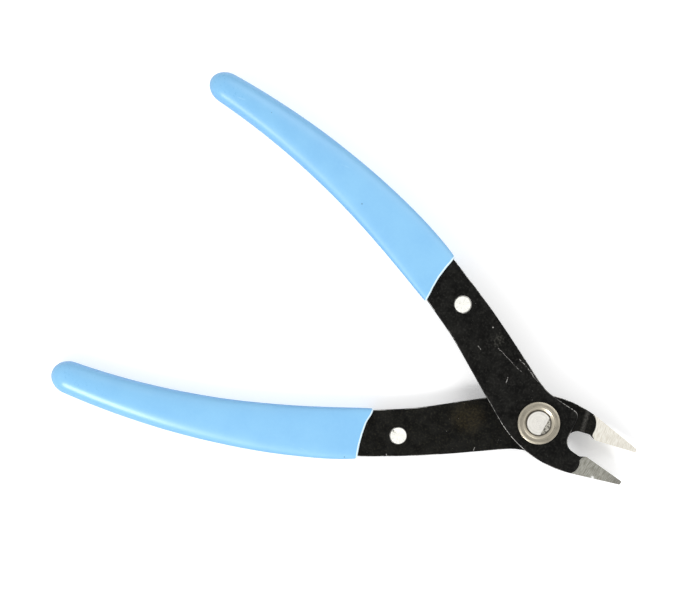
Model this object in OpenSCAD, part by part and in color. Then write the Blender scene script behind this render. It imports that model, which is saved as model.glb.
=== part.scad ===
// Small precision wire cutter and stripper with angled flush-cutting jaws.
//
// Two stamped steel arms cross at a riveted pivot and lie one on the other. Their handles stay
// flat, and their jaws are bent down and ground to one common sloping face. A hairpin spring
// under the arms opens them, and each handle is dipped in soft plastic.
//
// Frame: +Z up, out of the side that faces the user. The origin is on the pivot axis, on the flat
// face under the rear head that the tool lies on. +X points to the jaws and the handles run
// towards -X. The front arm is the upper one: its handle is on the +Y side and its jaw on the
// -Y side. The rear arm is its mirror image, one plate lower. The model stands open, at rest.

/* [Steel arms] */
// Thickness of the steel both arms are stamped from
plate_t = 2.5; // [2.3:0.1:2.8]
// Angle from the closed line to each jaw when the tool stands open
jaw_open = 8.9; // [8:0.1:9]
// Angle at which the jaws are bent down from the plates
jaw_drop = 21; // [19:1:22]
// Distance from the pivot axis to the blunt tips
jaw_reach = 22.4; // [22:0.1:24]
// Width of each blunt tip
tip_w = 0.85; // [0.7:0.05:1.2]
// Distance from the pivot axis to the heels of the cutting edges
heel_s = 12.7; // [12.6:0.1:13]
// Half width of the throat behind the cutting edges, with the jaws closed
throat_half_w = 0.85; // [0.7:0.05:1]
// Radius of the round end of the throat
throat_r = 2.45; // [2.2:0.05:2.5]
// Radius of the belly where the arm runs into its jaw
belly_r = 24; // [20:1:24]

/* [Grips] */
// Length of the front grip along its curved middle line
front_grip_l = 65.7; // [62:0.1:70]
// Length of the rear grip along its curved middle line
rear_grip_l = 69.1; // [62:0.1:72]
// Radius of the gentle curve of both handles
handle_r = 175; // [160:5:220]
// Angle between the handle and the middle line of the tool, at the mouth of the grip
handle_angle = 25.9; // [25:0.1:27]
// Width lost per millimetre of the front grip, on each side
front_taper = 0.0445; // [0.035:0.0005:0.048]
// Width lost per millimetre of the rear grip, on each side
rear_taper = 0.039; // [0.033:0.0005:0.043]

/* [Pivot] */
// Radius of the rivet's shank through both arms
shank_r = 2.5; // [2.2:0.1:2.6]
// Radius of the turned washer on the front arm and of the rear head
head_r = 4.55; // [4.4:0.05:4.8]
// Height of the washer
washer_h = 1; // [0.8:0.1:1.4]
// Thickness of the rear head
rear_head_t = 0.9; // [0.8:0.1:1.2]
// Radius of the hub that the bend of the spring turns on
hub_r = 3.2; // [3:0.05:3.3]

/* [Spring and its rivets] */
// Diameter of the spring wire
wire_d = 1.2; // [0.9:0.1:1.2]
// Distance from the pivot axis to each handle rivet
rivet_reach = 30.25; // [29.5:0.05:31]
// Angle of each handle rivet off the middle line of the tool
rivet_angle = 31.4; // [31:0.1:32]
// Radius of the flush head of each handle rivet
rivet_head_r = 1.8; // [1.6:0.05:2]
// Radius of the shank of each handle rivet
rivet_shank_r = 1.25; // [1:0.05:1.3]

/* [Hidden] */
$fn = 64;

// Clearances and small allowances
run_fit = 0.05;      // radial, between the shank and the arm that turns on it
press_fit = 0.01;    // radial, between pieces that are riveted together
edge_gap = 0.02;     // from the closed line to each cutting edge
wire_play = 0.1;     // around the spring wire
over = 1;            // how far a cutting tool runs past a face

// Levels. The spring lies under the rear plate, at the height of its hub.
hub_h = wire_d + 2 * wire_play;
rear_z = rear_head_t + hub_h;
seam_z = rear_z + plate_t;
front_top_z = seam_z + plate_t;
wire_z = rear_head_t + hub_h / 2;

// Jaw sections, against the distance s from the pivot axis along the closed line
ground_s = 12.3;         // where the ground face is ground_rise above the seam
ground_rise = 1;
skin = 0.2;              // height of the unground skin over the ground face
bend_r = 6;              // of the front jaw's bend
ramp_s = 8.9;            // where the jaws leave the plane of their plates
ramp_foot_r = 1.5;
ramp_top_s = 10.7;       // where the rear jaw's ramp meets the common slope
ramp_top_r = 1.2;
front_under_s = 10.9;    // where the front jaw is down to the common underside
under_s = 9;             // where the common underside leaves the rear plate
under_drop = 1.5;        // how far the underside falls from there to the tips
bevel_angle = 30;        // of the blade's inner side, under the cutting edge
far = 130;               // longer than either handle
wide = 120;              // wider than the open tool

// Corners of the stamped outline that aren't on the jaw's own lines
nose_x = 7.08;
nose_y = 5.65;
nose_r = 1.5;
waist = [-1.43, 6.76];
waist_r = 14;
shoulder = [-19.2, 17.4];
shoulder_r = 160;
elbow = [-25, 8.76];
elbow_r = 60;
belly = [0.59, -8.93];
tip_r = 0.25;
notch_back = 0.8;        // from the heel back to where the throat has its full width
notch_lean = 1;          // how much further back the heel's leaning wall is at its foot
notch_r = 0.4;

// Handles
mouth = [-33.15, 18.85];     // middle of the grip's mouth
tang_half_w = 4.95;      // half width of the steel at the mouth
tang_l = 58;             // length of steel inside each grip
tang_steps = 8;
mouth_half_w = 6.12;     // half width that the grip would have without its neck
neck_pinch = 0.7;        // how much the neck pulls in at the mouth
neck_l = 6;              // how quickly the neck fades
mouth_half_t = 1.95;     // half thickness at the mouth
bulk = 0.9;              // how much thicker it grows towards the end
bulk_l = 25;
grip_end_r = 4;          // length of the round end
mouth_skew = 0.335;      // slant of the mouth across the handle
mouth_skew_l = 15;       // how quickly the slant fades
mouth_bow = 0.7;         // how far the mouth's edge bows into the grip
mouth_lap = 0.9;         // how far the plastic laps over the steel before the mouth's middle
square_mouth = 6;        // exponent of the section at the mouth, nearly a rectangle
square_end = 2.4;        // exponent of the section at the end, nearly an ellipse
grip_rings = 14;
end_rings = 5;
ring_points = 28;

function unit(v) = v / norm(v);

// A point of the front jaw: s along the closed line, t out to the jaw's own side
function jaw(s, t) = [
    s * cos(jaw_open) - t * sin(jaw_open),
    -s * sin(jaw_open) - t * cos(jaw_open)
];

// Heights of the ground face and of the underside at s
function ground_z(s) = seam_z + ground_rise - tan(jaw_drop) * (s - ground_s);
function under_z(s) = rear_z - under_drop * (s - under_s) / (jaw_reach - under_s);

// The arc of radius r that rounds corner b between a and c
function corner(a, b, c, r) =
    let (
        u = unit(a - b),
        w = unit(c - b),
        half = acos(u * w) / 2,
        centre = b + unit(u + w) * r / sin(half),
        first = b + u * r / tan(half) - centre,
        last = b + w * r / tan(half) - centre,
        start = atan2(first[1], first[0]),
        turn = atan2(first[0] * last[1] - first[1] * last[0], first * last),
        steps = max(2, ceil(abs(turn) / 3))
    )
    [for (i = [0:steps]) centre + r * [cos(start + turn * i / steps), sin(start + turn * i / steps)]];

// A point of the handle: l along its middle line from the mouth, y out from it
function handle(l, y) =
    let (
        a = handle_angle - l / handle_r * 180 / PI,
        centre = mouth - handle_r * [sin(handle_angle), cos(handle_angle)]
    )
    centre + (handle_r + y) * [sin(a), cos(a)];

// Half width of the steel inside the grip
function tang_w(l) = tang_half_w - (tang_half_w - tip_of_tang) * pow(l / tang_l, 1.2);
tip_of_tang = 1.9;

function tang_side(side) = [for (i = [0:tang_steps])
    let (l = tang_l * i / tang_steps) handle(l, side * tang_w(l))];

// Outline of the front arm, from the inner corner of its tip round by the throat, the nose and the
// outer edge of the handle, and back by the inner edge
tip_in = jaw(jaw_reach, edge_gap);
tip_out = jaw(jaw_reach, tip_w);
heel = jaw(heel_s - notch_lean, edge_gap);
notch = jaw(heel_s - notch_back - notch_lean, throat_half_w);
throat_s = (nose_x + throat_half_w * sin(jaw_open)) / cos(jaw_open);
throat = jaw(throat_s, throat_half_w);
nose = [nose_x, nose_y];
OUTLINE = concat(
    corner(tip_out, tip_in, heel, tip_r),
    [heel],
    corner(heel, notch, throat, notch_r),
    corner(notch, throat, nose, throat_r),
    corner(throat, nose, waist, nose_r),
    corner(nose, waist, shoulder, waist_r),
    corner(waist, shoulder, handle(0, tang_half_w), shoulder_r),
    tang_side(1),
    [for (i = [tang_steps:-1:0]) tang_side(-1)[i]],
    corner(handle(0, -tang_half_w), elbow, belly, elbow_r),
    corner(elbow, belly, tip_out, belly_r),
    corner(belly, tip_out, tip_in, tip_r)
);

// Sections of the two arms in s and z. Both jaws end in the same section.
end_s = jaw_reach + over;
end_top = [end_s, ground_z(end_s) + skin];
end_under = [end_s, under_z(end_s)];
front_bend = [ground_s - (plate_t - ground_rise - skin) / tan(jaw_drop), front_top_z];
ramp_foot = [ramp_s, seam_z];
ramp_top = [ramp_top_s, ground_z(ramp_top_s) + skin];
FRONT_SECTION = concat(
    [[-far, seam_z], [-far, front_top_z]],
    corner([0, front_top_z], front_bend, end_top, bend_r),
    [end_top, end_under, [front_under_s, under_z(front_under_s)], [ramp_s, seam_z]]
);
REAR_SECTION = concat(
    [[-far, rear_z], [-far, seam_z]],
    corner([0, seam_z], ramp_foot, ramp_top, ramp_foot_r),
    corner(ramp_foot, ramp_top, end_top, ramp_top_r),
    [end_top, end_under, [under_s, rear_z]]
);

// Places its children, drawn in s, t and z, on the front jaw
module on_jaw() {
    rotate([0, 0, -jaw_open])
        mirror([0, 1, 0])
            children();
}

// Tilts its children, drawn from the ground face, to lie along it
module on_ground_face() {
    translate([ground_s, 0, seam_z + ground_rise])
        rotate([0, jaw_drop, 0])
            translate([-ground_s, 0, 0])
                children();
}

// Takes the skin off the jaw from its black end outwards. That end bulges towards the tip, to
// black_s, with radius black_r about the line t = black_t.
module grind(black_s, black_r, black_t) {
    start_s = 10;
    side = 8;
    on_jaw() on_ground_face() difference() {
        translate([start_s, -side, 0])
            cube([jaw_reach, 2 * side, plate_t]);
        translate([black_s - black_r, black_t, -over])
            cylinder(r = black_r, h = plate_t + 2 * over);
        translate([0, -side - over, -over])
            cube([black_s - black_r / 2.2, 2 * (side + over), plate_t + 2 * over]);
    }
}

// Clears the throat up to the heel, whose wall leans back with the bent jaw
module heel_cut() {
    depth = 2 * plate_t;
    start_s = heel_s - 2 * notch_back - notch_lean;
    on_jaw() on_ground_face()
        translate([0, 0, -depth])
            linear_extrude(depth + plate_t)
                polygon([
                    [start_s, throat_half_w], [heel_s - notch_back, throat_half_w],
                    [heel_s, edge_gap], [heel_s, -over], [start_s, -over]
                ]);
}

// Bevels the blade's inner side away under the cutting edge
module bevel() {
    depth = 2 * plate_t;
    start_s = heel_s - notch_back - notch_lean;
    on_jaw() on_ground_face()
        translate([start_s, 0, 0])
            rotate([90, 0, 90])
                linear_extrude(jaw_reach)
                    polygon([
                        [-over, 0], [edge_gap, 0],
                        [edge_gap + depth * tan(bevel_angle), -depth], [-over, -depth]
                    ]);
}

// Spreads its children to the front handle's rivet
module at_rivet() {
    rotate([0, 0, 180 - rivet_angle])
        translate([rivet_reach, 0, 0])
            children();
}

rivet_head_t = 0.8;      // of the flush head, sunk in the plate

// One stamped arm in the front arm's place. bottom_z is the underside of its plate.
module arm(section, bottom_z, bore_r, black_s, black_r, black_t) {
    difference() {
        intersection() {
            linear_extrude(front_top_z + over)
                polygon(OUTLINE);
            on_jaw()
                rotate([90, 0, 0])
                    linear_extrude(wide, center = true)
                        polygon(section);
        }
        grind(black_s, black_r, black_t);
        heel_cut();
        bevel();
        translate([0, 0, bottom_z - over])
            cylinder(r = bore_r, h = plate_t + 2 * over);
        at_rivet() {
            translate([0, 0, bottom_z - over])
                cylinder(r = rivet_shank_r + press_fit, h = plate_t + 2 * over);
            translate([0, 0, bottom_z + plate_t - rivet_head_t])
                cylinder(r = rivet_head_r + press_fit, h = rivet_head_t + over);
        }
    }
}

module front_arm() {
    color("#1c1c1e") arm(FRONT_SECTION, seam_z, shank_r + run_fit, 12.5, 2.4, 3.2);
}

module rear_arm() {
    color("#1c1c1e") mirror([0, 1, 0]) arm(REAR_SECTION, rear_z, shank_r + press_fit, 12.05, 3.6, 2.5);
}

// Turned washer on the front arm, with a countersink that the rivet is spread into
washer_bevel_r = 3.35;
washer_bevel_h = 0.6;
shank_top_z = front_top_z + washer_h - 0.15;

module pivot_washer() {
    color("#b9b4a6")
        translate([0, 0, front_top_z])
            difference() {
                cylinder(r = head_r, h = washer_h);
                translate([0, 0, -over])
                    cylinder(r = shank_r + press_fit, h = washer_h + 2 * over);
                translate([0, 0, washer_h - washer_bevel_h])
                    cylinder(r1 = shank_r + press_fit, r2 = washer_bevel_r, h = washer_bevel_h);
            }
}

module pivot_rivet() {
    color("#c8c5bb") {
        cylinder(r = head_r, h = rear_head_t);
        cylinder(r = shank_r, h = shank_top_z);
    }
}

// Turned hub between the rear head and the rear arm
module spring_hub() {
    color("#b9b4a6")
        translate([0, 0, rear_head_t])
            difference() {
                cylinder(r = hub_r, h = hub_h);
                translate([0, 0, -over])
                    cylinder(r = shank_r + press_fit, h = hub_h + 2 * over);
            }
}

// Small rivet in the front arm's place: flush head on top, shank, and a tail under the spring eye
tail_r = 2.1;
tail_t = 0.6;

module handle_rivet(top_z) {
    color("#d8d6cf") at_rivet() {
        translate([0, 0, top_z - rivet_head_t])
            cylinder(r = rivet_head_r, h = rivet_head_t);
        translate([0, 0, rear_head_t - tail_t])
            cylinder(r = rivet_shank_r, h = top_z - rear_head_t + tail_t - rivet_head_t / 2);
        translate([0, 0, rear_head_t - tail_t])
            cylinder(r = tail_r, h = tail_t);
    }
}

module front_handle_rivet() {
    handle_rivet(front_top_z);
}

module rear_handle_rivet() {
    mirror([0, 1, 0]) handle_rivet(seam_z);
}

// Fills the height of one plate between the front arm and its eye of the spring
module spring_spacer() {
    color("#b9b4a6") at_rivet()
        translate([0, 0, rear_z])
            difference() {
                cylinder(r = tail_r, h = plate_t);
                translate([0, 0, -over])
                    cylinder(r = rivet_shank_r + press_fit, h = plate_t + 2 * over);
            }
}

// Hairpin spring: a bend round the hub, and two straight legs that end in eyes on the rivets.
// Each leg is the common outer tangent of its eye and the bend. The wire is swept along stations
// of [centre of the arc, radius, angle], from the end of one eye to the end of the other.
hook_r = hub_r + wire_play + wire_d / 2;
eye_r = rivet_shank_r + wire_play + wire_d / 2;
eye_turn = 265;
eye_steps = 22;
bend_steps = 10;
wire_sides = 10;
leg_normal = 180 - rivet_angle - acos((hook_r - eye_r) / rivet_reach);
front_eye = rivet_reach * [-cos(rivet_angle), sin(rivet_angle)];
rear_eye = rivet_reach * [-cos(rivet_angle), -sin(rivet_angle)];
STATIONS = concat(
    [for (i = [eye_steps:-1:0]) [front_eye, eye_r, leg_normal + eye_turn * i / eye_steps]],
    [for (i = [0:bend_steps]) [[0, 0], hook_r, leg_normal * (1 - 2 * i / bend_steps)]],
    [for (i = [0:eye_steps]) [rear_eye, eye_r, -leg_normal - eye_turn * i / eye_steps]]
);

function wire_point(station, side) =
    let (
        a = 360 * side / wire_sides,
        p = station[0] + (station[1] + wire_d / 2 * cos(a)) * [cos(station[2]), sin(station[2])]
    )
    [p[0], p[1], wire_z + wire_d / 2 * sin(a)];

module return_spring() {
    n = wire_sides;
    last = (len(STATIONS) - 1) * n;
    points = [for (station = STATIONS, side = [0:n - 1]) wire_point(station, side)];
    faces = concat(
        [[for (i = [0:n - 1]) i]],
        [for (k = [0:len(STATIONS) - 2], i = [0:n - 1])
            [k * n + i, (k + 1) * n + i, (k + 1) * n + (i + 1) % n, k * n + (i + 1) % n]],
        [[for (i = [n - 1:-1:0]) last + i]]
    );
    color("#8f8f8c") polyhedron(points, faces);
}

// Dipped grips. The section is a superellipse that changes from nearly a rectangle at the mouth to
// nearly an ellipse at the round end.
function grip_w(l, taper) = mouth_half_w - taper * l - neck_pinch * exp(-l / neck_l);
function grip_t(l) = mouth_half_t + bulk * (1 - exp(-l / bulk_l));
function grip_square(l) = square_end + (square_mouth - square_end) * exp(-l / bulk_l);
function bulge(c, square) = sign(c) * pow(abs(c), 2 / square);
function slant(l, y, w) =
    let (fade = max(0, 1 - l / mouth_skew_l))
    l + fade * (mouth_skew * y + mouth_bow * (1 - pow(y / w, 2)) - mouth_lap);

// One ring of the grip, scaled by shrink at the round end
function grip_ring(l, taper, shrink) = [for (i = [0:ring_points - 1])
    let (
        a = 360 * i / ring_points,
        w = grip_w(l, taper) * shrink,
        y = w * bulge(cos(a), grip_square(l)),
        z = grip_t(l) * shrink * bulge(sin(a), grip_square(l)),
        p = handle(slant(l, y, w), y)
    )
    [p[0], p[1], z]];

module grip(length, taper, mid_z) {
    body_l = length - grip_end_r;
    rings = concat(
        [for (i = [0:grip_rings]) grip_ring(body_l * i / grip_rings, taper, 1)],
        [for (i = [1:end_rings]) let (a = i * 85 / end_rings)
            grip_ring(body_l + grip_end_r * sin(a), taper, cos(a))]
    );
    count = len(rings);
    n = ring_points;
    mouth_mid = handle(mouth_bow - mouth_lap, 0);
    end_mid = handle(length, 0);
    points = concat(
        [for (ring = rings) each ring],
        [[mouth_mid[0], mouth_mid[1], 0], [end_mid[0], end_mid[1], 0]]
    );
    faces = concat(
        [for (k = [0:count - 2], i = [0:n - 1])
            [k * n + i, k * n + (i + 1) % n, (k + 1) * n + i]],
        [for (k = [0:count - 2], i = [0:n - 1])
            [k * n + (i + 1) % n, (k + 1) * n + (i + 1) % n, (k + 1) * n + i]],
        [for (i = [0:n - 1]) [count * n, (i + 1) % n, i]],
        [for (i = [0:n - 1]) [count * n + 1, (count - 1) * n + i, (count - 1) * n + (i + 1) % n]]
    );
    difference() {
        translate([0, 0, mid_z])
            polyhedron(points, faces);
        translate([0, 0, mid_z - plate_t / 2])
            linear_extrude(plate_t)
                polygon(OUTLINE);
    }
}

module front_grip() {
    color("#8ccdfa") grip(front_grip_l, front_taper, seam_z + plate_t / 2);
}

module rear_grip() {
    color("#8ccdfa") mirror([0, 1, 0]) grip(rear_grip_l, rear_taper, rear_z + plate_t / 2);
}

front_arm();
rear_arm();
pivot_rivet();
pivot_washer();
spring_hub();
front_handle_rivet();
rear_handle_rivet();
spring_spacer();
return_spring();
front_grip();
rear_grip();
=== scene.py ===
"""A small precision wire cutter with blue dipped grips, lying open on a pale table.

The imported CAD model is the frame. The spring's hub and its spacer are the CAD nodes themselves,
with their edges rounded. Each arm is a copy of its CAD mesh with rubbed edges, and the grips, the
rivets, the washer and the spring are finer pieces: these stand for their CAD nodes. Lengths are
in millimetres until MM makes them metres.
"""

import math

import bmesh
import bpy
from mathutils import Matrix, Vector, noise


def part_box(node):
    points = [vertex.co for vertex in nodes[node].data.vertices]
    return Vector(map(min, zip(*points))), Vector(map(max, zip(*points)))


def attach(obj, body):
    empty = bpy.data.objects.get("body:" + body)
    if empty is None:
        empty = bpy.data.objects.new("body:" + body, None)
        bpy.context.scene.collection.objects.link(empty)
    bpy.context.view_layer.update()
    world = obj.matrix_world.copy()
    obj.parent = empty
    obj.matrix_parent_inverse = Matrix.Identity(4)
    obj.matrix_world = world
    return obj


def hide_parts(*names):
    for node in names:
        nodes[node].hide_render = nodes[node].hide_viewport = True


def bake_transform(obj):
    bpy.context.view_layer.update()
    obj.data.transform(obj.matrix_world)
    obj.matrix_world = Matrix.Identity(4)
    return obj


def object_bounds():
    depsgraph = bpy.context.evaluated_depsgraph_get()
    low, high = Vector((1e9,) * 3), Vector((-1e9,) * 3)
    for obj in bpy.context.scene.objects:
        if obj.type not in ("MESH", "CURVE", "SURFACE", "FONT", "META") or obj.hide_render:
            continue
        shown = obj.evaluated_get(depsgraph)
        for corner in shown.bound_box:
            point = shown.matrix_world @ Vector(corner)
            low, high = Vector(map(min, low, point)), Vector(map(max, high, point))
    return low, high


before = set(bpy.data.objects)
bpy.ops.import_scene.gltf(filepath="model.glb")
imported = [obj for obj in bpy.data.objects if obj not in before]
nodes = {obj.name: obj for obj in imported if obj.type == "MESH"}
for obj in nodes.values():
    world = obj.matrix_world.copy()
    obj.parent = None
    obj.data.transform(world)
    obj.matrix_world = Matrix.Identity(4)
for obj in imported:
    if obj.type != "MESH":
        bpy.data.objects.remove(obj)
cad_low, cad_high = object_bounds()

MM = 0.001
SIDES = {"front": 1, "rear": -1}  # the rear arm mirrors the front arm in y

# Jaws, as in the CAD: s runs along the closed line from the pivot, t out to the jaw's own side
JAW_OPEN = math.radians(8.9)
JAW_DROP = math.radians(21)
GROUND_S = 12.3      # where the ground face is GROUND_RISE above the seam between the plates
GROUND_RISE = 1.0
BEVEL_ANGLE = math.radians(30)
EDGE_GAP = 0.02
BLADE_S = 11.3       # the jaw's edges past this are ground
TIP_S = 21.6         # the tip's edges stay sharp
CUTTING_T = 0.9      # so do the blade's edges this near the closed line

# Handles and grips, as in the CAD
MOUTH = (-33.15, 18.85)
HANDLE_R = 175
HANDLE_ANGLE = math.radians(25.9)
GRIP_LENGTH = {"front": 65.7, "rear": 69.1}
GRIP_TAPER = {"front": 0.0445, "rear": 0.039}
GRIP_TRIM = 0.02     # keeps the round ends inside the CAD's
MOUTH_HALF_W = 6.12
TANG_HALF_W = 4.95
PLATE_T = 2.5

# Pivot, handle rivets and spring, as in the CAD
SHANK_R = 2.5
REAR_HEAD_T = 0.9
RIVET_REACH = 30.25
RIVET_ANGLE = math.radians(31.4)
RIVET_SHANK_R = 1.25
FLUSH_HEAD_R = 1.8
WIRE_R = 0.6
WIRE_PLAY = 0.1
EYE_TURN = math.radians(265)

# The pivot's face is spread to SPREAD_R. Past a chord, CHORD_OFF from the middle, it is sunk.
SPREAD_R = 2.6
CHORD_OFF = 1.38
CHORD_TURN = 0.05

# Colours, in linear light: the dark or dull one of a pair comes first
OXIDE = (0.0022, 0.0022, 0.0020), (0.0085, 0.0084, 0.0074)
OXIDE_PATCH = {"front": (0.030, 0.029, 0.026), "rear": (0.031, 0.029, 0.020)}
# Painted reflection: both blades are the same ground steel; the rear pair is near white for the
# lamp that it mirrors, the front pair a darker grey
GROUND_PAINTED_REFLECTION = {
    "front": ((0.24, 0.235, 0.20), (0.52, 0.515, 0.46)),
    "rear": ((0.76, 0.72, 0.62), (1.0, 0.98, 0.91)),
}
PLASTIC = (0.183, 0.430, 0.69), (0.205, 0.463, 0.71)
WASHER = (0.40, 0.365, 0.29), (0.57, 0.52, 0.42)
HUB = (0.34, 0.31, 0.27), (0.60, 0.57, 0.50)
PIN = (0.70, 0.68, 0.63), (0.82, 0.80, 0.75)
RIVET = (0.78, 0.78, 0.73), (0.97, 0.96, 0.91)
WIRE = (0.16, 0.16, 0.16), (0.42, 0.41, 0.39)
TABLE = (0.885, 0.885, 0.885), (0.905, 0.905, 0.905)

CREASE = math.radians(28)    # edges that turn more than this are rounded
LEVEL = math.radians(0.6)    # faces that turn less than this are one face


def millimetres(node):
    """The lowest and highest corners of a CAD node, in millimetres."""
    low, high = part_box(node)
    return low / MM, high / MM


def smooth(x, start, end):
    """0 before start, 1 after end, and an even S between them."""
    f = min(max((x - start) / (end - start), 0), 1)
    return f * f * (3 - 2 * f)


# ---------------------------------------------------------------------------- materials


class Shader:
    """One principled material. Its methods add nodes and return their output sockets.

    at is the point on the piece in millimetres, flat is at with no height, and facing is the
    outward direction. A colour is three linear numbers.
    """

    def __init__(self, name, **constants):
        self.material = bpy.data.materials.new(name)
        self.material.use_nodes = True
        self.tree = self.material.node_tree
        self.surface = self.tree.nodes["Principled BSDF"]
        for socket, value in constants.items():
            title = socket.replace("_", " ").title().replace("Ior", "IOR")
            self.surface.inputs[title].default_value = value
        coordinates = self.node("ShaderNodeTexCoord")
        self.facing = coordinates.outputs["Normal"]
        self.at = self.vector("SCALE", coordinates.outputs["Object"], scale=1 / MM)
        self.flat = self.vector("MULTIPLY", self.at, (1, 1, 0))

    def node(self, kind, **settings):
        made = self.tree.nodes.new(kind)
        for name, value in settings.items():
            setattr(made, name, value)
        return made

    def feed(self, socket, value):
        """Links an output socket to socket, or sets socket to a number, a vector or a colour."""
        if isinstance(value, bpy.types.NodeSocket):
            self.tree.links.new(value, socket)
        elif socket.type == "RGBA":
            socket.default_value = (*value, 1)
        else:
            socket.default_value = value

    def math(self, operation, *values, clamp=False):
        made = self.node("ShaderNodeMath", operation=operation, use_clamp=clamp)
        for socket, value in zip(made.inputs, values):
            self.feed(socket, value)
        return made.outputs[0]

    def vector(self, operation, *values, scale=None):
        made = self.node("ShaderNodeVectorMath", operation=operation)
        for socket, value in zip(made.inputs, values):
            self.feed(socket, value)
        if scale is not None:
            self.feed(made.inputs["Scale"], scale)
        return made.outputs["Value" if operation in ("DOT_PRODUCT", "LENGTH", "DISTANCE") else 0]

    def along(self, direction):
        """How far the point is along a direction."""
        return self.vector("DOT_PRODUCT", self.at, direction)

    def fade(self, value, start, end, low=0.0, high=1.0):
        """low where value is start, high where it is end, and an even S between them."""
        made = self.node("ShaderNodeMapRange", interpolation_type="SMOOTHSTEP")
        for socket, number in zip(made.inputs, (value, start, end, low, high)):
            self.feed(socket, number)
        return made.outputs[0]

    def noise(self, scale, detail=3.0, roughness=0.55, at=None, stretch=None, offset=0.0):
        """Noise of about scale features per millimetre, finer along axes that stretch favours."""
        place = self.at if at is None else at
        if stretch or offset:
            move = (offset, offset, offset)
            place = self.vector("MULTIPLY_ADD", place, stretch or (1, 1, 1), move)
        made = self.node("ShaderNodeTexNoise")
        self.feed(made.inputs["Vector"], place)
        self.feed(made.inputs["Scale"], scale)
        self.feed(made.inputs["Detail"], detail)
        self.feed(made.inputs["Roughness"], roughness)
        return made.outputs["Fac"]

    def specks(self, scale, size, share, offset=0.0):
        """Round specks, size cells in radius, in a share of the cells, scale to a millimetre."""
        place = self.vector("ADD", self.at, (offset, offset, offset))
        made = self.node("ShaderNodeTexVoronoi")
        self.feed(made.inputs["Vector"], place)
        self.feed(made.inputs["Scale"], scale)
        self.feed(made.inputs["Randomness"], 1.0)
        chance = self.node("ShaderNodeSeparateColor")
        self.feed(chance.inputs[0], made.outputs["Color"])
        chosen = self.math("LESS_THAN", chance.outputs[0], share)
        return self.math("MULTIPLY", self.fade(made.outputs["Distance"], size, size * 0.6), chosen)

    def mix(self, factor, a, b):
        made = self.node("ShaderNodeMix", data_type="RGBA")
        self.feed(made.inputs[0], factor)
        self.feed(made.inputs[6], a)
        self.feed(made.inputs[7], b)
        return made.outputs[2]

    def either(self, *masks):
        """The largest of several masks."""
        found = masks[0]
        for mask in masks[1:]:
            found = self.math("MAXIMUM", found, mask)
        return found

    def both(self, *masks):
        """The product of several masks."""
        found = masks[0]
        for mask in masks[1:]:
            found = self.math("MULTIPLY", found, mask)
        return found

    def scratch(self, start, end, width):
        """A mask for a thin straight mark between two points of the plan, in millimetres."""
        a, b = Vector((*start, 0)), Vector((*end, 0))
        along = (b - a).normalized()
        across = Vector((-along.y, along.x, 0))
        wobble = self.math("MULTIPLY_ADD", self.noise(0.9, 1.0), 0.5, -0.25)
        off = self.math("SUBTRACT", self.along(across[:]), across.dot(a))
        off = self.math("ABSOLUTE", self.math("ADD", off, wobble))
        run = self.math("SUBTRACT", self.along(along[:]), along.dot(a))
        middle = (b - a).length / 2
        inside = self.math("ABSOLUTE", self.math("SUBTRACT", run, middle))
        narrow = self.fade(off, width, width * 0.4)
        return self.both(narrow, self.fade(inside, middle, middle * 0.85))

    def spot(self, centre, radius, soft=0.5):
        """A mask for an uneven round patch of the plan."""
        away = self.vector("DISTANCE", self.flat, (*centre, 0))
        uneven = self.math("MULTIPLY_ADD", self.noise(1.6 / radius, 3.0), radius, away)
        return self.fade(uneven, radius * 1.5, radius * (1.5 - soft))

    def bump(self, height, strength=1.0, distance=0.05):
        """A bump that moves the surface by up to distance millimetres."""
        made = self.node("ShaderNodeBump")
        self.feed(made.inputs["Strength"], strength)
        self.feed(made.inputs["Distance"], distance * MM)
        self.feed(made.inputs["Height"], height)
        return made.outputs[0]

    def finish(self, **sockets):
        """Feeds the shader's own sockets and returns the material."""
        for socket, value in sockets.items():
            self.feed(self.surface.inputs[socket.replace("_", " ").title()], value)
        return self.material


def dipped_plastic(half, lip=False):
    """Light blue soft plastic with a satin skin, faint clouds, scuffs and a few dark specks. The
    lip is paler."""
    name = f"grip_lip_{half}" if lip else f"grip_plastic_{half}"
    m = Shader(name, ior=1.48, specular_ior_level=0.6)
    offset = 31.0 if half == "front" else 57.0
    clouds = m.noise(0.09, 3.0, offset=offset)
    grain = m.noise(1.7, 4.0, 0.6, offset=offset)
    body = m.mix(m.fade(clouds, 0.3, 0.7), *PLASTIC)
    body = m.mix(m.fade(grain, 0.35, 0.75, 0, 0.2), body, (0.235, 0.50, 0.74))
    # Scuffs run along the handle.
    scuffs = m.noise(0.5, 4.0, 0.7, stretch=(0.25, 1.6, 1), offset=offset)
    scuffed = m.fade(scuffs, 0.66, 0.76, 0, 0.35)
    body = m.mix(scuffed, body, (0.36, 0.60, 0.80))
    dirt = m.either(
        m.specks(0.16, 0.030, 0.30, offset),
        m.specks(0.33, 0.045, 0.06, offset + 4),
    )
    speck = m.spot((-54.8, 25.7) if half == "front" else (-34.3, -25.0), 0.22, 0.9)
    dirt = m.either(dirt, speck)
    body = m.mix(m.math("MULTIPLY", dirt, 0.85), body, (0.02, 0.05, 0.09))
    if lip:
        body = m.mix(0.8, body, (0.78, 0.90, 0.95))
    upright = m.vector("DOT_PRODUCT", m.facing, (0, 0, 1))
    side = m.fade(m.math("ABSOLUTE", upright), 0.85, 0.25)
    if not lip:  # painted shade: the sides are darker blue, as they face away from the light overhead
        body = m.mix(m.math("MULTIPLY", side, 0.85), body, (0.075, 0.28, 0.57))
    # The hand has dulled the plastic near the mouth more than at the round end.
    dulled = m.fade(m.vector("LENGTH", m.at), 96, 62, 0, 0.16)
    rough = m.math("ADD", m.fade(grain, 0.3, 0.75, 0.27, 0.33), m.math("MULTIPLY", scuffed, 0.3))
    rough = m.math("ADD", rough, dulled)
    broad, fine = m.noise(0.8, 2.0, offset=offset), m.noise(2.6, 2.0, offset=offset)
    uneven = m.math("MULTIPLY_ADD", broad, 2.0, fine)
    return m.finish(base_color=body, roughness=rough, normal=m.bump(uneven, 0.2, 0.008))


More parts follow.
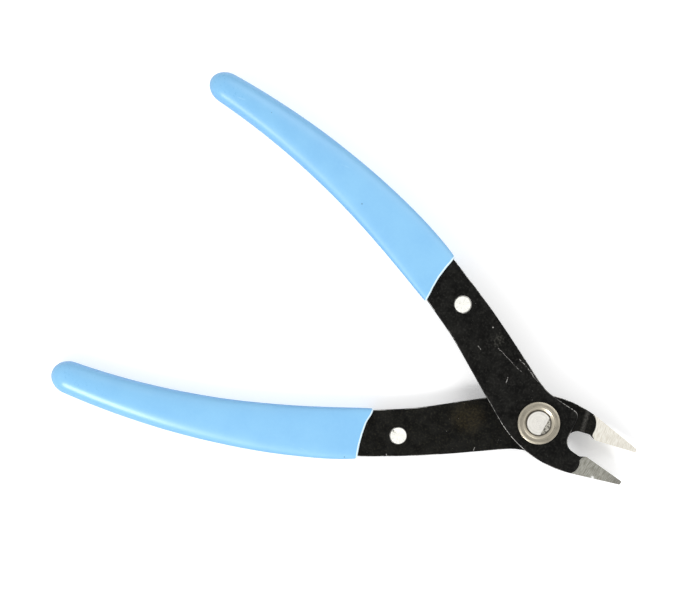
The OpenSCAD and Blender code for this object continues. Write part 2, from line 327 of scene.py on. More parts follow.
def jaw_places(m, half):
    """Sockets for the jaw's own s and t and for the height over its ground face, and the direction
    that this face looks in."""
    side = SIDES[half]
    seam = millimetres("front_arm")[1].z - PLATE_T
    plan = (math.cos(JAW_OPEN), -side * math.sin(JAW_OPEN))
    s = m.along((*plan, 0))
    t = m.along((-math.sin(JAW_OPEN), -side * math.cos(JAW_OPEN), 0))
    normal = (math.sin(JAW_DROP) * plan[0], math.sin(JAW_DROP) * plan[1], math.cos(JAW_DROP))
    level = (seam + GROUND_RISE) * math.cos(JAW_DROP) + GROUND_S * math.sin(JAW_DROP)
    return s, t, m.math("SUBTRACT", m.along(normal), level), normal


def ground_steel(m, half, reach):
    """(mask, colour, roughness, grinding lines) of the ground parts of a jaw: its sloping face, the
    bevel under the cutting edge and the blunt tip. reach is how far from each the mask extends."""
    s, t, height, normal = jaw_places(m, half)
    on_jaw = m.fade(m.vector("LENGTH", m.flat), 11.95, 12.05)
    facing = m.fade(m.vector("DOT_PRODUCT", m.facing, normal), 0.80, 0.93)
    face = m.both(m.fade(m.math("ABSOLUTE", height), reach, reach * 0.8), on_jaw, facing)
    under = m.math("MULTIPLY_ADD", height, math.tan(BEVEL_ANGLE), m.math("SUBTRACT", t, EDGE_GAP))
    bevel = m.both(m.fade(m.math("ABSOLUTE", under), reach, reach * 0.8), m.fade(s, 12.2, 12.3))
    tip = m.fade(s, 22.25, 22.3)
    mask = m.either(face, bevel, tip)

    place = m.node("ShaderNodeCombineXYZ")
    m.feed(place.inputs[0], s)
    m.feed(place.inputs[1], t)
    lines = m.noise(1.0, 5.0, 0.65, at=place.outputs[0], stretch=(9.0, 0.55, 1.0))
    blotch = m.noise(0.8, 3.0, at=place.outputs[0], offset=7.0)
    # painted reflection: each blade gets its own arm's colours, for the light that it mirrors
    dull, bright = GROUND_PAINTED_REFLECTION[half]
    colour = m.mix(m.fade(lines, 0.38, 0.66), dull, bright)
    colour = m.mix(m.fade(blotch, 0.55, 0.75, 0, 0.4), colour, dull)
    if half == "front":  # darker to the tip, with a bright spot at the outer edge
        colour = m.mix(m.fade(s, 18.5, 22, 0, 0.5), colour, (0.20, 0.19, 0.17))
        colour = m.mix(m.spot((15.8, -5.45), 0.55, 0.8), colour, (0.95, 0.95, 0.93))
    rough = m.fade(lines, 0.35, 0.7, 0.34, 0.5)
    return mask, colour, rough, lines


def oxide_colour(m, half):
    """(colour, clouds, grain) of black oxide: grey clouds, thin spots, and a brown stain on the
    rear arm or a grey smudge on the front one."""
    offset = 11.0 if half == "front" else 83.0
    clouds = m.noise(0.35, 5.0, 0.65, offset=offset)
    grain = m.noise(2.2, 5.0, 0.7, offset=offset)
    colour = m.mix(m.fade(clouds, 0.35, 0.72), *OXIDE)
    colour = m.mix(m.fade(grain, 0.46, 0.76, 0, 0.6), colour, OXIDE_PATCH[half])
    if half == "rear":
        stain = m.both(m.spot((-14, -6), 5.0, 0.9), m.fade(grain, 0.35, 0.6, 0.1, 0.55))
        colour = m.mix(stain, colour, (0.030, 0.023, 0.010))
    else:
        smudge = m.both(m.spot((-15.5, 12.2), 2.0, 0.9), m.fade(grain, 0.42, 0.62, 0.05, 0.7))
        colour = m.mix(smudge, colour, (0.060, 0.058, 0.050))
    return colour, clouds, grain


def black_steel(half):
    """Stamped steel under black oxide, bare where the jaw is ground and along a few scratches."""
    m = Shader(f"black_steel_{half}", specular_ior_level=0.075)
    colour, clouds, grain = oxide_colour(m, half)
    offset = 19.0 if half == "front" else 47.0
    dust = m.either(m.specks(0.9, 0.06, 0.10, offset), m.specks(2.1, 0.08, 0.05, offset))
    if half == "front":
        marks = m.either(
            m.scratch((-15.2, 10.8), (-7.9, 8.2), 0.06),
            m.scratch((-9.8, 10.6), (-6.4, 9.2), 0.09),
            m.scratch((-6.4, 9.1), (-3.9, 7.9), 0.12),
            m.scratch((-10.3, 6.0), (-9.9, 4.4), 0.09),
            m.scratch((-19.0, 9.3), (-17.6, 8.6), 0.06),
        )
    else:
        marks = m.either(
            m.scratch((-9.95, -10.7), (-9.8, -11.8), 0.12),
            m.scratch((-26.5, -20.4), (-26.1, -21.3), 0.10),
        )
    broken = m.fade(m.noise(2.2, 3.0, 0.7, offset=offset), 0.42, 0.55)
    upward = m.fade(m.vector("DOT_PRODUCT", m.facing, (0, 0, 1)), 0.5, 0.9)
    marks = m.both(marks, broken, upward)
    if half == "rear":  # painted highlight: the top of the ramp is lighter grey, where its bent steel catches the light
        from_top = m.math("ABSOLUTE", m.math("SUBTRACT", jaw_places(m, half)[0], 9.6))
        rubbed = m.both(m.fade(from_top, 0.7, 0.1), m.fade(grain, 0.35, 0.6, 0.15, 0.6))
        colour = m.mix(rubbed, colour, (0.10, 0.097, 0.088))
    bare = m.either(m.math("MULTIPLY", marks, 0.8), m.math("MULTIPLY", dust, 0.7))
    if half == "front":
        bare = m.either(bare, m.spot((-17.8, 14.2), 0.2, 0.8))
    colour = m.mix(bare, colour, (0.36, 0.35, 0.33))

    mask, steel, steel_rough, lines = ground_steel(m, half, 0.09)
    colour = m.mix(mask, colour, steel)
    rough = m.math("ADD", m.fade(clouds, 0.3, 0.7, 0.36, 0.48), m.fade(grain, 0.4, 0.8, 0, 0.1))
    coated = m.math("SUBTRACT", 1.0, mask)
    rough = m.math("ADD", m.both(coated, rough), m.both(mask, steel_rough))
    height = m.math("ADD", m.both(coated, m.noise(3.0, 4.0, 0.6)), m.both(mask, lines))
    normal = m.bump(height, 0.7, 0.02)
    return m.finish(base_color=colour, metallic=mask, roughness=rough, normal=normal)


def worn_edge(half):
    """The rounded edges of an arm: oxide that is worn through to bright steel in uneven runs."""
    m = Shader(f"worn_edge_{half}", specular_ior_level=0.2)
    colour, _, grain = oxide_colour(m, half)
    offset = 5.0 if half == "front" else 71.0
    runs = m.noise(0.16, 3.0, 0.6, offset=offset)
    nicks = m.noise(1.9, 4.0, 0.7, offset=offset)
    worn = m.fade(m.math("MULTIPLY_ADD", nicks, 0.45, runs), 0.70, 0.82)
    top = m.fade(m.along((0, 0, 1)), 4.3, 4.6)
    worn = m.both(worn, top)
    if half == "front":  # the inner edge over the crossing and the nose rub most
        rubbed = m.either(m.spot((-5.5, -4), 5.5, 0.7), m.spot((4.5, 5.8), 3.2, 0.6))
        worn = m.either(worn, m.both(rubbed, m.fade(nicks, 0.40, 0.55), top))
    else:
        worn = m.both(worn, m.fade(jaw_places(m, half)[0], 9.0, 8.6))
    colour = m.mix(m.math("MULTIPLY", worn, 0.85), colour, (0.40, 0.39, 0.37))
    mask, steel = ground_steel(m, half, 0.12)[:2]
    colour = m.mix(mask, colour, steel)
    metal = m.either(mask, m.math("MULTIPLY", worn, 0.85))
    rough = m.fade(grain, 0.3, 0.8, 0.36, 0.5)
    return m.finish(base_color=colour, metallic=metal, roughness=rough)


def turned_steel(name, centre, dull, bright, shade_r=0.0):
    """Steel with the fine rings that a lathe leaves about an upright axis through centre. Within
    shade_r of it painted shade darkens the steel, as in the crevice round a pin."""
    m = Shader(name, metallic=1.0)
    radius = m.vector("DISTANCE", m.flat, (*centre, 0))
    place = m.node("ShaderNodeCombineXYZ")
    m.feed(place.inputs[0], radius)
    m.feed(place.inputs[1], m.math("MULTIPLY", m.along((0, 0, 1)), 0.5))
    rings = m.noise(1 / 0.16, 3.0, 0.6, at=place.outputs[0])
    tarnish = m.noise(0.7, 4.0, 0.65)
    fine = m.noise(6.0, 2.0)
    colour = m.mix(m.fade(rings, 0.35, 0.65), dull, bright)
    colour = m.mix(m.fade(tarnish, 0.5, 0.75, 0, 0.6), colour, dull)
    rough = m.math("ADD", m.fade(tarnish, 0.3, 0.75, 0.26, 0.38), m.fade(fine, 0.4, 0.7, 0, 0.06))
    if shade_r:
        # painted shade: near the bore the steel is darkened and dulled, for the crevice round the
        # pivot's face
        shade = m.fade(radius, shade_r, shade_r - 0.1, 0, 0.75)
        colour = m.mix(shade, colour, (0.17, 0.155, 0.125))
        rough = m.math("MULTIPLY_ADD", shade, 0.35, rough)
    return m.finish(base_color=colour, roughness=rough, normal=m.bump(rings, 0.6, 0.02))


def rivet_steel(name, centre, head_r, pit=None):
    """Bright steel with a face struck rough by the punch, darker round its rim and in a pit."""
    m = Shader(name, metallic=1.0)
    offset = m.vector("SUBTRACT", m.flat, (*centre, 0))
    radius = m.vector("LENGTH", offset)
    spokes = m.node("ShaderNodeTexGradient", gradient_type="RADIAL")
    m.feed(spokes.inputs[0], offset)
    place = m.node("ShaderNodeCombineXYZ")
    m.feed(place.inputs[0], m.math("MULTIPLY", spokes.outputs["Fac"], 26.0))
    m.feed(place.inputs[1], m.math("MULTIPLY", radius, 0.5))
    streaks = m.noise(1.0, 4.0, 0.7, at=place.outputs[0], offset=centre[0])
    dents = m.noise(1.5, 4.0, 0.6, offset=centre[1])
    colour = m.mix(m.fade(streaks, 0.35, 0.7), *RIVET)
    colour = m.mix(m.fade(dents, 0.55, 0.72, 0, 0.5), colour, (0.55, 0.54, 0.50))
    rim = m.fade(radius, head_r * 0.93, head_r, 0, 0.75)
    if pit:
        rim = m.either(rim, m.spot(pit, 0.3, 0.9))
    colour = m.mix(rim, colour, (0.16, 0.155, 0.15))
    rough = m.fade(dents, 0.3, 0.75, 0.52, 0.68)
    height = m.math("ADD", dents, m.math("MULTIPLY", streaks, 0.4))
    return m.finish(base_color=colour, roughness=rough, normal=m.bump(height, 0.6, 0.05))


def spring_steel():
    """Drawn wire: dull grey steel with marks along it and a little rust."""
    m = Shader("spring_steel", metallic=1.0)
    drawn = m.noise(2.5, 4.0, 0.6, stretch=(0.5, 1.5, 3.0))
    rust = m.noise(0.6, 4.0, 0.7, offset=13.0)
    colour = m.mix(m.fade(drawn, 0.35, 0.7), *WIRE)
    colour = m.mix(m.fade(rust, 0.6, 0.78, 0, 0.5), colour, (0.16, 0.085, 0.045))
    rough = m.fade(rust, 0.35, 0.75, 0.3, 0.55)
    return m.finish(base_color=colour, roughness=rough, normal=m.bump(drawn, 0.5, 0.015))


def table_top():
    """Plain pale table that glows a little, as a lit sheet does."""
    m = Shader(
        "table_top", specular_ior_level=0.2, emission_color=(1, 1, 1, 1), emission_strength=0.27
    )
    mottle = m.noise(0.02, 2.0)
    colour = m.mix(m.fade(mottle, 0.3, 0.7), *TABLE)
    return m.finish(base_color=colour, roughness=m.fade(mottle, 0.3, 0.7, 0.7, 0.8))


# ---------------------------------------------------------------------------- mesh pieces


def make_piece(name, points, faces, material):
    """A smooth mesh piece from points in millimetres."""
    mesh = bpy.data.meshes.new(name)
    mesh.from_pydata([Vector(p) * MM for p in points], [], faces)
    mesh.materials.append(material)
    mesh.polygons.foreach_set("use_smooth", [True] * len(mesh.polygons))
    mesh.validate()
    mesh.update()
    piece = bpy.data.objects.new(name, mesh)
    bpy.context.scene.collection.objects.link(piece)
    return piece


def skin(rings, first, last):
    """(points, faces) of a closed skin over rings of the same count, ended by two middle points."""
    n = len(rings[0])
    points = [p for ring in rings for p in ring] + [first, last]
    start, end = len(points) - 2, len(points) - 1
    faces = []
    for k in range(len(rings) - 1):
        for i in range(n):
            j = (i + 1) % n
            faces.append((k * n + i, k * n + j, (k + 1) * n + j, (k + 1) * n + i))
    faces += [(start, (i + 1) % n, i) for i in range(n)]
    top = (len(rings) - 1) * n
    faces += [(end, top + i, top + (i + 1) % n) for i in range(n)]
    return points, faces


def turned(profile, centre, segments=96, shift=None):
    """(points, faces) of a profile of (radius, z) turned about an upright axis through centre.

    The profile starts and ends on the axis. shift(x, y, z) gives a change in height.
    """
    rings = []
    for r, z in profile[1:-1]:
        ring = []
        for i in range(segments):
            a = 2 * math.pi * i / segments
            x, y = r * math.cos(a), r * math.sin(a)
            rise = shift(x, y, z) if shift else 0
            ring.append((centre[0] + x, centre[1] + y, z + rise))
        rings.append(ring)
    ends = []
    for _, z in (profile[0], profile[-1]):
        ends.append((centre[0], centre[1], z + (shift(0, 0, z) if shift else 0)))
    return skin(rings, *ends)


def rounded(corners, steps=5):
    """A profile whose corners (r, z, radius) are rounded."""
    made = []
    last = len(corners) - 1
    for i, (r, z, radius) in enumerate(corners):
        here = Vector((r, z))
        if radius == 0 or i in (0, last):
            made.append((r, z))
            continue
        before = (Vector(corners[i - 1][:2]) - here).normalized()
        after = (Vector(corners[i + 1][:2]) - here).normalized()
        half = before.angle(after) / 2
        centre = here + (before + after).normalized() * radius / math.sin(half)
        start = here + before * radius / math.tan(half) - centre
        end = here + after * radius / math.tan(half) - centre
        turn = start.angle_signed(end)
        for k in range(steps + 1):
            spin = Matrix.Rotation(-turn * k / steps, 2)
            made.append(tuple(centre + spin @ start))
    return made


def spaced(profile, step):
    """The profile with more points on its long runs."""
    made = [profile[0]]
    for a, b in zip(profile, profile[1:]):
        count = max(1, math.ceil(math.dist(a, b) / step))
        made += [tuple(Vector(a).lerp(Vector(b), k / count)) for k in range(1, count + 1)]
    return made


def handle_point(half, l, y, z):
    """A point of a handle: l along its middle line from the mouth, y out from it, and z."""
    a = HANDLE_ANGLE - l / HANDLE_R
    r = HANDLE_R + y
    x0 = MOUTH[0] - HANDLE_R * math.sin(HANDLE_ANGLE)
    y0 = MOUTH[1] - HANDLE_R * math.cos(HANDLE_ANGLE)
    return (x0 + r * math.sin(a), SIDES[half] * (y0 + r * math.cos(a)), z)


def bulge(c, square):
    """A cosine or sine pushed out, so that a round section turns squarer as square grows."""
    return math.copysign(abs(c) ** (2 / square), c)


def grip(half):
    """One dipped grip: a round end, a body with slight sags, and a rounded lip on the steel."""
    low, high = millimetres(f"{half}_grip")
    mid_z = (low.z + high.z) / 2
    length, taper, round_end = GRIP_LENGTH[half] - GRIP_TRIM, GRIP_TAPER[half], 4
    sides, inner_rings, lip_rings, body_rings, end_rings = 72, 5, 9, 110, 12
    lip, sink = 0.36, 0.06
    body = length - round_end
    seed = 3.0 if half == "front" else 9.0

    def ring(l, shrink=1.0, inset=0.0, toward=0.0, depth=0.0):
        """inset pulls the ring in, toward blends it to the steel's section, depth moves it back."""
        w = (MOUTH_HALF_W - taper * l - 0.7 * math.exp(-max(l, 0) / 6)) * shrink
        t = (1.95 + 0.9 * (1 - math.exp(-max(l, 0) / 25))) * shrink
        square = 2.05 + 3.95 * math.exp(-max(l, 0) / 20)
        fade = max(0, 1 - l / 15)
        made = []
        for i in range(sides):
            a = 2 * math.pi * i / sides
            y, z = w * bulge(math.cos(a), square), t * bulge(math.sin(a), square)
            y -= inset * bulge(math.cos(a), square)
            z -= inset * bulge(math.sin(a), square)
            steel_y = (TANG_HALF_W - sink) * bulge(math.cos(a), 14)
            steel_z = (PLATE_T / 2 - sink) * bulge(math.sin(a), 14)
            y, z = y + (steel_y - y) * toward, z + (steel_z - z) * toward
            slanted = l + depth + fade * (0.335 * y + 0.7 * (1 - (y / w) ** 2) - 0.9)
            slanted += 0.3 * noise.noise(Vector((y * 0.45, z * 0.3, seed + 5))) * fade
            sag = noise.noise(Vector((l * 0.11, a * 0.9 * math.cos(a), seed)))
            pull = 1 - 0.012 * (0.5 + 0.5 * sag) * smooth(l, 1, 8)
            made.append(handle_point(half, slanted, y * pull, mid_z + z * pull))
        return made

    rings = []
    for k in range(inner_rings):  # inside the grip, back out to the lip
        rings.append(ring(0, toward=1, depth=2.4 - 0.5 * k))
    for k in range(lip_rings):  # round the lip
        a = math.pi / 2 * k / (lip_rings - 1)
        rings.append(ring(0, inset=lip * (1 - math.sin(a)), depth=lip * (1 - math.cos(a))))
    lip_faces = (len(rings) - 1) * sides
    for k in range(1, body_rings + 1):
        l = lip + (body - lip) * k / body_rings
        rings.append(ring(l))
    for k in range(1, end_rings + 1):
        a = math.radians(86) * k / end_rings
        rings.append(ring(body + round_end * math.sin(a), shrink=math.cos(a)))
    inner = handle_point(half, 2.2, 0, mid_z)
    tip = handle_point(half, length, 0, mid_z)
    points, faces = skin(rings, inner, tip)
    piece = make_piece(f"{half}_grip_dip", points, faces, dipped_plastic(half))
    piece.data.materials.append(dipped_plastic(half, lip=True))
    for face in piece.data.polygons[:lip_faces]:
        face.material_index = 1
    return piece


def rivet_place(half):
    """The middle of a handle rivet in the plan."""
    return (
        -RIVET_REACH * math.cos(RIVET_ANGLE),
        SIDES[half] * RIVET_REACH * math.sin(RIVET_ANGLE),
    )


def handle_rivet(half):
    """A small rivet: a flush head struck a little uneven, its shank and a domed tail."""
    low, high = millimetres(f"{half}_handle_rivet")
    tail_r = (high.x - low.x) / 2
    centre = rivet_place(half)
    top, head, shank, tail = high.z, FLUSH_HEAD_R, RIVET_SHANK_R, 0.6
    corners = [
        (0, low.z, 0), (tail_r * 0.55, low.z, 0.6), (tail_r, low.z + 0.42, 0.14),
        (tail_r, low.z + tail, 0.05), (shank, low.z + tail, 0), (shank, top - 0.8, 0),
        (head, top - 0.8, 0), (head, top, 0.12), (head * 0.8, top - 0.02, 0), (0, top - 0.02, 0),
    ]
    seed = 2.0 if half == "front" else 6.0

    def struck(x, y, z):
        if z < top - 0.3:
            return 0
        rough = 0.05 * (noise.noise(Vector((x * 0.9, y * 0.9, seed))) - 0.6)
        if half == "rear":  # a notch in the head's edge, with a pit beside it
            away = math.dist((x, y), (-1.25, 0.42))
            rough -= 0.32 * (1 - smooth(away, 0.1, 0.5))
        return rough

    points, faces = turned(spaced(rounded(corners), 0.16), centre, 72, struck)
    pit = (centre[0] - 1.4, centre[1] + 0.46) if half == "rear" else None
    material = rivet_steel(f"rivet_steel_{half}", centre, head, pit)
    return make_piece(f"{half}_handle_rivet_struck", points, faces, material)


def pivot_rivet():
    """The pivot: a flat rear head, the shank, and a face spread in the washer's countersink. Past a
    chord on the jaw side the face is sunk and rough."""
    low, high = millimetres("pivot_rivet")
    head, top = high.x, high.z
    corners = [
        (0, low.z, 0), (head, low.z, 0.12), (head, REAR_HEAD_T, 0.08), (SHANK_R, REAR_HEAD_T, 0),
        (SHANK_R, top - 0.55, 0), (SPREAD_R, top - 0.22, 0), (SPREAD_R, top, 0.1), (0, top, 0),
    ]

    def struck(x, y, z):
        if z < top - 0.2:
            return 0
        past = x * math.cos(CHORD_TURN) - y * math.sin(CHORD_TURN) - CHORD_OFF
        rough = 0.5 + 0.5 * noise.noise(Vector((x * 2.2, y * 2.2, 4)))
        dish = -0.02 * (1 - math.hypot(x, y) / SPREAD_R)
        return dish - smooth(past, 0, 0.22) * (0.08 + 0.13 * rough)

    points, faces = turned(spaced(rounded(corners), 0.14), (0, 0), 128, struck)
    return make_piece("pivot_rivet_turned", points, faces, pivot_steel())


def pivot_steel():
    """Turned steel, bright on the flat face and grey where the face is sunk and rough."""
    m = Shader("pivot_steel", metallic=1.0)
    across = m.along((math.cos(CHORD_TURN), -math.sin(CHORD_TURN), 0))
    past = m.fade(across, CHORD_OFF + 0.02, CHORD_OFF + 0.17)
    on_top = m.fade(m.along((0, 0, 1)), 7.4, 7.5)
    rough_face = m.both(past, on_top)
    pits = m.noise(2.4, 4.0, 0.7)
    radius = m.vector("LENGTH", m.flat)
    place = m.node("ShaderNodeCombineXYZ")
    m.feed(place.inputs[0], radius)
    rings = m.noise(5.0, 3.0, 0.6, at=place.outputs[0])
    colour = m.mix(m.fade(rings, 0.35, 0.65), *PIN)
    colour = m.mix(m.fade(m.noise(0.9, 4.0, 0.65), 0.5, 0.75, 0, 0.4), colour, (0.60, 0.58, 0.52))
    pitted = m.mix(m.fade(pits, 0.38, 0.62), (0.10, 0.095, 0.08), (0.52, 0.50, 0.44))
    colour = m.mix(rough_face, colour, pitted)
    # painted shade: the face is darkened along its edge, for the crevice where it meets the washer
    rim = m.both(m.fade(radius, SPREAD_R - 0.18, SPREAD_R - 0.04, 0, 0.8), on_top)
    colour = m.mix(rim, colour, (0.10, 0.09, 0.08))
    rough = m.math("ADD", m.fade(pits, 0.3, 0.7, 0.46, 0.58), m.math("MULTIPLY", rough_face, 0.1))
    height = m.math("ADD", m.math("MULTIPLY", rings, 0.4), m.both(rough_face, pits))
    return m.finish(base_color=colour, roughness=rough, normal=m.bump(height, 0.8, 0.06))


def pivot_washer():
    """The washer: a dished face between a thin rim and the countersink. It is a ring, so its
    profile closes on itself."""
    low, high = millimetres("pivot_washer")
    outer, bottom, top = high.x, low.z, high.z
    bore, sink_r = SHANK_R + 0.01, 3.35
    corners = [
        (bore, bottom), (outer - 0.05, bottom), (outer, bottom + 0.06), (outer, top - 0.14),
        (outer - 0.04, top - 0.05), (outer - 0.12, top), (outer - 0.22, top - 0.02),
        (outer - 0.4, top - 0.07), (outer - 0.8, top - 0.085), (sink_r + 0.16, top - 0.06),
        (sink_r + 0.04, top - 0.05), (sink_r - 0.06, top - 0.12), (bore + 0.02, top - 0.6),
        (bore, top - 0.64),
    ]
    profile = spaced(corners + corners[:1], 0.2)[:-1]
    segments, n = 128, len(profile)
    points = [
        (r * math.cos(2 * math.pi * i / segments), r * math.sin(2 * math.pi * i / segments), z)
        for i in range(segments) for r, z in profile
    ]
    faces = []
    for i in range(segments):
        j = (i + 1) % segments
        for k in range(n):
            following = (k + 1) % n
            faces.append((i * n + k, j * n + k, j * n + following, i * n + following))
    material = turned_steel("washer_steel", (0, 0), *WASHER, shade_r=bore + 0.28)
    return make_piece("pivot_washer_turned", points, faces, material)


def return_spring():
    """(piece, bend_r) of the hairpin spring: round wire bent about the hub, with an open eye on
    each handle rivet."""
    low, high = millimetres("return_spring")
    z = (low.z + high.z) / 2
    bend_r = millimetres("spring_hub")[1].x + WIRE_PLAY + WIRE_R
    eye_r = RIVET_SHANK_R + WIRE_PLAY + WIRE_R
    leg = math.pi - RIVET_ANGLE - math.acos((bend_r - eye_r) / RIVET_REACH)
    front, rear = Vector(rivet_place("front")), Vector(rivet_place("rear"))

    def arc(centre, r, start, end, steps):
        angles = [start + (end - start) * k / steps for k in range(steps + 1)]
        return [(Vector(centre) + r * Vector((math.cos(a), math.sin(a))), a) for a in angles]

    def straight(a, b, steps):
        return [(a[0].lerp(b[0], k / steps), a[1]) for k in range(1, steps)]

    eye_a = arc(front, eye_r, leg + EYE_TURN, leg, 48)
    bend = arc((0, 0), bend_r, leg, -leg, 40)
    eye_b = arc(rear, eye_r, -leg, -leg - EYE_TURN, 48)
    leg_a, leg_b = straight(eye_a[-1], bend[0], 20), straight(bend[-1], eye_b[0], 20)
    line = eye_a + leg_a + bend + leg_b + eye_b

    sides = 20

    def ring(place, angle, r, back=(0, 0)):
        out = Vector((math.cos(angle), math.sin(angle)))
        made = []
        for i in range(sides):
            a = 2 * math.pi * i / sides
            p = place + out * r * math.cos(a) + Vector(back)
            made.append((p.x, p.y, z + r * math.sin(a)))
        return made

    # Each end of the wire is cut square with its edge rubbed round.
    worn_end = (WIRE_R - 0.15, 0), (WIRE_R - 0.05, 0.05), (WIRE_R, 0.15)

    def end_rings(place, angle, following):
        forward = (following - place).normalized()
        return [ring(place, angle, r, forward * inset) for r, inset in worn_end]

    rings = end_rings(*line[0], line[1][0])
    rings += [ring(place, angle, WIRE_R) for place, angle in line[1:-1]]
    rings += end_rings(*line[-1], line[-2][0])[::-1]
    ends = [(line[i][0].x, line[i][0].y, z) for i in (0, -1)]
    points, faces = skin(rings, *ends)
    return make_piece("return_spring_wire", points, faces, spring_steel()), bend_r


def jaw_place(half, point):
    """(s, t) of a point of the half's own jaw, in millimetres."""
    x, y = point.x / MM, SIDES[half] * point.y / MM
    cos, sin = math.cos(JAW_OPEN), math.sin(JAW_OPEN)
    return x * cos - y * sin, -x * sin - y * cos


def rubbed_arm(half):
    """The arm's CAD mesh with its stamped edges rubbed round. The blade's own edges stay sharp."""
    mesh = bmesh.new()
    mesh.from_mesh(nodes[f"{half}_arm"].data)
    bmesh.ops.remove_doubles(mesh, verts=mesh.verts, dist=0.02 * MM)
    bmesh.ops.dissolve_degenerate(mesh, edges=mesh.edges, dist=0.004 * MM)
    bmesh.ops.dissolve_limit(mesh, angle_limit=LEVEL, verts=mesh.verts, edges=mesh.edges)
    stamped, ground = [], []
    for edge in mesh.edges:
        edge.smooth = True
        if not edge.is_manifold or edge.calc_face_angle() < CREASE:
            continue
        s, t = zip(*(jaw_place(half, v.co) for v in edge.verts))
        cutting = min(s) > BLADE_S and max(t) < CUTTING_T
        if max(s) > TIP_S or cutting:
            edge.smooth = False
        elif max(s) > BLADE_S:
            ground.append(edge)
        else:
            stamped.append(edge)
    for edges, width, segments in ((stamped, 0.13, 3), (ground, 0.05, 2)):
        bmesh.ops.bevel(
            mesh, geom=[e for e in edges if e.is_valid], offset=width * MM, segments=segments,
            profile=0.5, affect="EDGES", clamp_overlap=False, material=1,
        )
    bmesh.ops.recalc_face_normals(mesh, faces=mesh.faces)
    data = bpy.data.meshes.new(f"{half}_arm_rubbed")
    mesh.to_mesh(data)
    mesh.free()
    data.materials.append(black_steel(half))
    data.materials.append(worn_edge(half))
    data.polygons.foreach_set("use_smooth", [True] * len(data.polygons))
    arm = bpy.data.objects.new(f"{half}_arm_rubbed", data)
    bpy.context.scene.collection.objects.link(arm)
    even = arm.modifiers.new("even", "WEIGHTED_NORMAL")
    even.keep_sharp = True
    return arm


# ---------------------------------------------------------------------------- CAD nodes


def rounded_node(name, material):
    """Gives a CAD node its material and rounds its sharp edges. Modifiers do it, so its mesh stays
    as it is."""
    node = nodes[name]
    node.data.materials.clear()
    node.data.materials.append(material)
    weld = node.modifiers.new("weld", "WELD")
    weld.merge_threshold = 0.002 * MM
    flat = node.modifiers.new("flat", "DECIMATE")
    flat.decimate_type = "DISSOLVE"
    flat.angle_limit = LEVEL
    bevel = node.modifiers.new("edges", "BEVEL")
    bevel.width = 0.08 * MM
    bevel.segments = 3
    bevel.limit_method = "ANGLE"
    bevel.angle_limit = CREASE
    bevel.use_clamp_overlap = False
    bevel.harden_normals = True
    for polygon in node.data.polygons:
        polygon.use_smooth = True


# ---------------------------------------------------------------------------- the object

for half in SIDES:
    arm = rubbed_arm(half)
    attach(arm, f"{half}_half")
    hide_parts(f"{half}_arm")
    dip = grip(half)
    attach(dip, f"{half}_half")
    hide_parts(f"{half}_grip")
    small = handle_rivet(half)
    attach(small, f"{half}_half")
    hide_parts(f"{half}_handle_rivet")

rounded_node("spring_hub", turned_steel("hub_steel", (0, 0), *HUB))
rounded_node("spring_spacer", turned_steel("spacer_steel", rivet_place("front"), *HUB))

pin = pivot_rivet()
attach(pin, "rear_half")
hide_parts("pivot_rivet")

washer = pivot_washer()
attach(washer, "rear_half")
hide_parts("pivot_washer")

spring, bend_r = return_spring()
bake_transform(spring)
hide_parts("return_spring")


# ---------------------------------------------------------------------------- table, light, camera

# The tool lies on the edge of its rear head, the tail of the front handle rivet and the end of the
# rear grip, so the table leans a little to it.
TABLE_NORMAL = Vector((0.01041, -0.00443, 1)).normalized()
TABLE_Z = -0.06 * MM      # where the table passes under the pivot
table_mesh = bpy.data.meshes.new("table")
table_mesh.from_pydata([(-2, -2, 0), (2, -2, 0), (2, 2, 0), (-2, 2, 0)], [], [(0, 1, 2, 3)])
table_mesh.materials.append(table_top())
table = bpy.data.objects.new("table", table_mesh)
table.rotation_mode = "QUATERNION"
table.rotation_quaternion = TABLE_NORMAL.to_track_quat("Z", "Y")
table.location = (0, 0, TABLE_Z)
bpy.context.scene.collection.objects.link(table)

CAMERA_BACK = Vector((0.0239, -0.0131, 0.9996)).normalized()  # from the tool to the camera
CAMERA_TURN = math.radians(26.05)       # of the picture's level line in the tool's plane
CAMERA_AWAY = 495.8 * MM
AIM = Vector((-9.37, 6.28, 0)) * MM     # from the middle of the tool
CAMERA_LENS = 117.67                    # in millimetres, over a sensor 36 wide


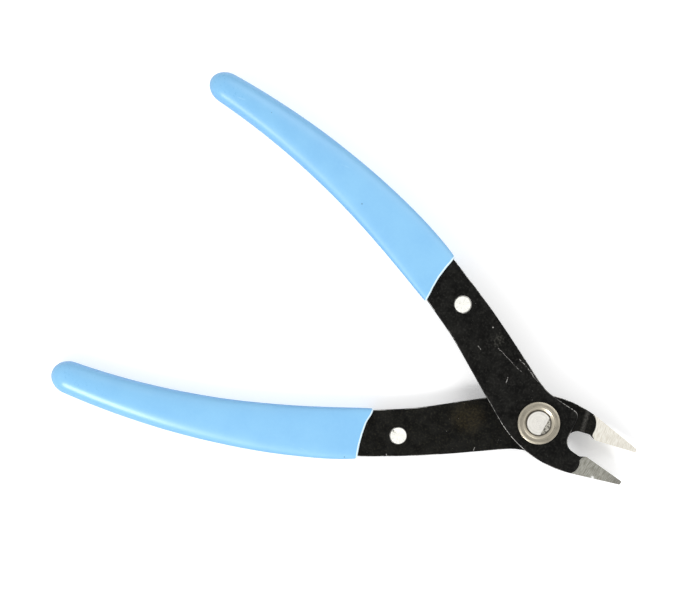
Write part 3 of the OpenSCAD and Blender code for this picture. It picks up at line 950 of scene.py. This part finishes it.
def camera():
    """The camera, which looks almost straight down on the tool."""
    level = Vector((math.cos(CAMERA_TURN), math.sin(CAMERA_TURN), 0))
    right = (level - Vector((0, 0, level.dot(CAMERA_BACK) / CAMERA_BACK.z))).normalized()
    up = CAMERA_BACK.cross(right)
    data = bpy.data.cameras.new("camera")
    data.sensor_width = 36
    data.lens = CAMERA_LENS
    data.clip_start, data.clip_end = 0.01, 10
    made = bpy.data.objects.new("camera", data)
    turn = Matrix((right, up, CAMERA_BACK)).transposed().to_4x4()
    place = (cad_low + cad_high) / 2 + AIM + CAMERA_BACK * CAMERA_AWAY
    made.matrix_world = Matrix.Translation(place) @ turn
    bpy.context.scene.collection.objects.link(made)
    bpy.context.scene.camera = made


def soft_box(name, azimuth, elevation, away, size, power):
    """A square area light that looks at the tool."""
    data = bpy.data.lights.new(name, "AREA")
    data.size, data.energy = size, power
    made = bpy.data.objects.new(name, data)
    a, e = math.radians(azimuth), math.radians(elevation)
    back = Vector((math.cos(a) * math.cos(e), math.sin(a) * math.cos(e), math.sin(e)))
    made.rotation_mode = "QUATERNION"
    made.rotation_quaternion = back.to_track_quat("Z", "Y")
    made.location = (cad_low + cad_high) / 2 + back * away
    bpy.context.scene.collection.objects.link(made)


# (sine of the height over the horizon, brightness) of the tent, from the table to overhead
TENT_LEVELS = ((0.0, 0.45), (0.45, 1.0), (0.82, 1.0), (0.97, 0.4))


def tent():
    """A white tent with a dim opening overhead."""
    world = bpy.data.worlds.new("tent")
    world.use_nodes = True
    tree = world.node_tree
    place = tree.nodes.new("ShaderNodeTexCoord")
    split = tree.nodes.new("ShaderNodeSeparateXYZ")
    ramp = tree.nodes.new("ShaderNodeValToRGB")
    tree.links.new(place.outputs["Generated"], split.inputs[0])
    tree.links.new(split.outputs["Z"], ramp.inputs[0])
    ramp.color_ramp.interpolation = "EASE"
    stops = ramp.color_ramp.elements
    stops.new(TENT_LEVELS[1][0])
    stops.new(TENT_LEVELS[2][0])
    for stop, (height, bright) in zip(stops, TENT_LEVELS):
        stop.position = height
        stop.color = (bright, bright, bright, 1)
    background = tree.nodes["Background"]
    tree.links.new(ramp.outputs[0], background.inputs["Color"])
    background.inputs["Strength"].default_value = 0.92
    bpy.context.scene.world = world


camera()
tent()
soft_box("key", azimuth=71, elevation=50, away=0.8, size=0.5, power=1.8)
soft_box("low", azimuth=-97, elevation=42, away=0.8, size=0.28, power=4.1)
bpy.context.scene.view_settings.view_transform = "Standard"
